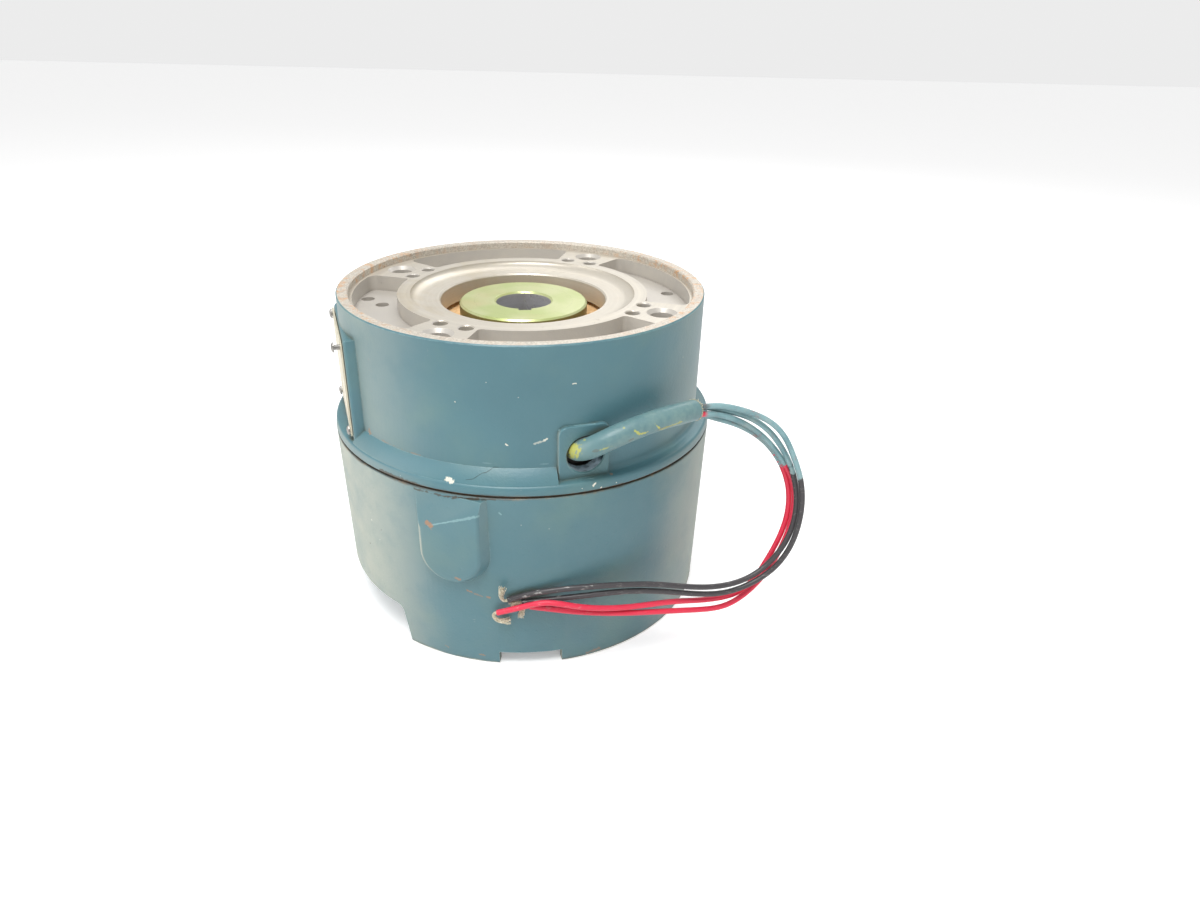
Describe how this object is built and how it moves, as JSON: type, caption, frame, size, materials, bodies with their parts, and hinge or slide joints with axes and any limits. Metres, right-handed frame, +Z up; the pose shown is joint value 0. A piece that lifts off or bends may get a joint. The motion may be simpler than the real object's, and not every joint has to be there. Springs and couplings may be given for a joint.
{
  "type": "spring applied brake",
  "caption": "Flange mounted friction brake that springs apply and an electric coil releases, with a keyed splined hub, round painted castings and loose lead wires.",
  "frame": {"origin": "middle of the cover's foot, on the surface that the brake stands on", "axes": "+Z up along the hub's axis to the mounting face, -Y towards the side with the lead hole"},
  "size_m": [0.2939, 0.2565, 0.207],
  "materials": {
    "paint": "satin teal paint over castings, machined faces bare",
    "gasket": "pressed fibre, dull",
    "plate": "thin plate, cream, bare of print",
    "steel": "plain steel",
    "zinc": "yellow green zinc plate",
    "lining": "moulded friction lining",
    "iron": "machined iron",
    "varnish": "varnished winding",
    "sleeve": "sleeve, overpainted teal",
    "black_lead": "insulation, part painted teal",
    "red_lead": "insulation, part painted teal",
    "strands": "bared copper strands, tarnished"
  },
  "bodies": {
    "casing": {"housing": "paint", "cover": "paint", "flange_gasket": "gasket", "nameplate": "plate", "drive_screw_1": "steel", "drive_screw_2": "steel", "drive_screw_3": "steel", "drive_screw_4": "steel", "magnet_body": "iron", "coil": "varnish", "spring_1": "steel", "spring_2": "steel", "spring_3": "steel", "spring_4": "steel", "spring_5": "steel", "spring_6": "steel", "guide_stud_1": "steel", "guide_stud_2": "steel", "guide_stud_3": "steel", "guide_stud_4": "steel", "stud_nut_1": "steel", "stud_nut_2": "steel", "stud_nut_3": "steel", "stud_nut_4": "steel", "cover_screw_1": "steel", "cover_screw_2": "steel", "cover_screw_3": "steel", "cover_screw_4": "steel", "cable_sleeve": "sleeve", "lead_black_1": "black_lead", "lead_black_2": "black_lead", "lead_red_1": "red_lead", "lead_red_2": "red_lead", "strands_black_1": "strands", "strands_black_2": "strands", "strands_red_1": "strands", "strands_red_2": "strands"},
    "rotor": {"hub": "zinc"},
    "upper_disc": {"friction_disc_upper": "lining"},
    "lower_disc": {"friction_disc_lower": "lining"},
    "middle_disc": {"stationary_disc": "steel"},
    "armature": {"pressure_plate": "steel"}
  },
  "joints": [
    {"name": "hub_spin", "type": "hinge", "parent": "casing", "child": "rotor", "pos_m": [0, 0, 0.18], "axis": [0, 0, 1], "continuous": true},
    {"name": "plate_release", "type": "slide", "parent": "casing", "child": "armature", "axis": [0, 0, -1], "range_m": [0, 0.0012], "stiffness_N_per_m": 5000, "springref_m": -0.02, "deforming": ["spring_1", "spring_2", "spring_3", "spring_4", "spring_5", "spring_6"]},
    {"name": "middle_disc_float", "type": "slide", "parent": "casing", "child": "middle_disc", "axis": [0, 0, -1], "range_m": [0, 0.0006]},
    {"name": "upper_disc_float", "type": "slide", "parent": "rotor", "child": "upper_disc", "axis": [0, 0, -1], "range_m": [0, 0.0003]},
    {"name": "lower_disc_float", "type": "slide", "parent": "rotor", "child": "lower_disc", "axis": [0, 0, -1], "range_m": [0, 0.0009]}
  ],
  "couplings": [
    {"joint": "middle_disc_float", "follows": "plate_release", "ratio": 0.5},
    {"joint": "upper_disc_float", "follows": "plate_release", "ratio": 0.25},
    {"joint": "lower_disc_float", "follows": "plate_release", "ratio": 0.75}
  ]
}
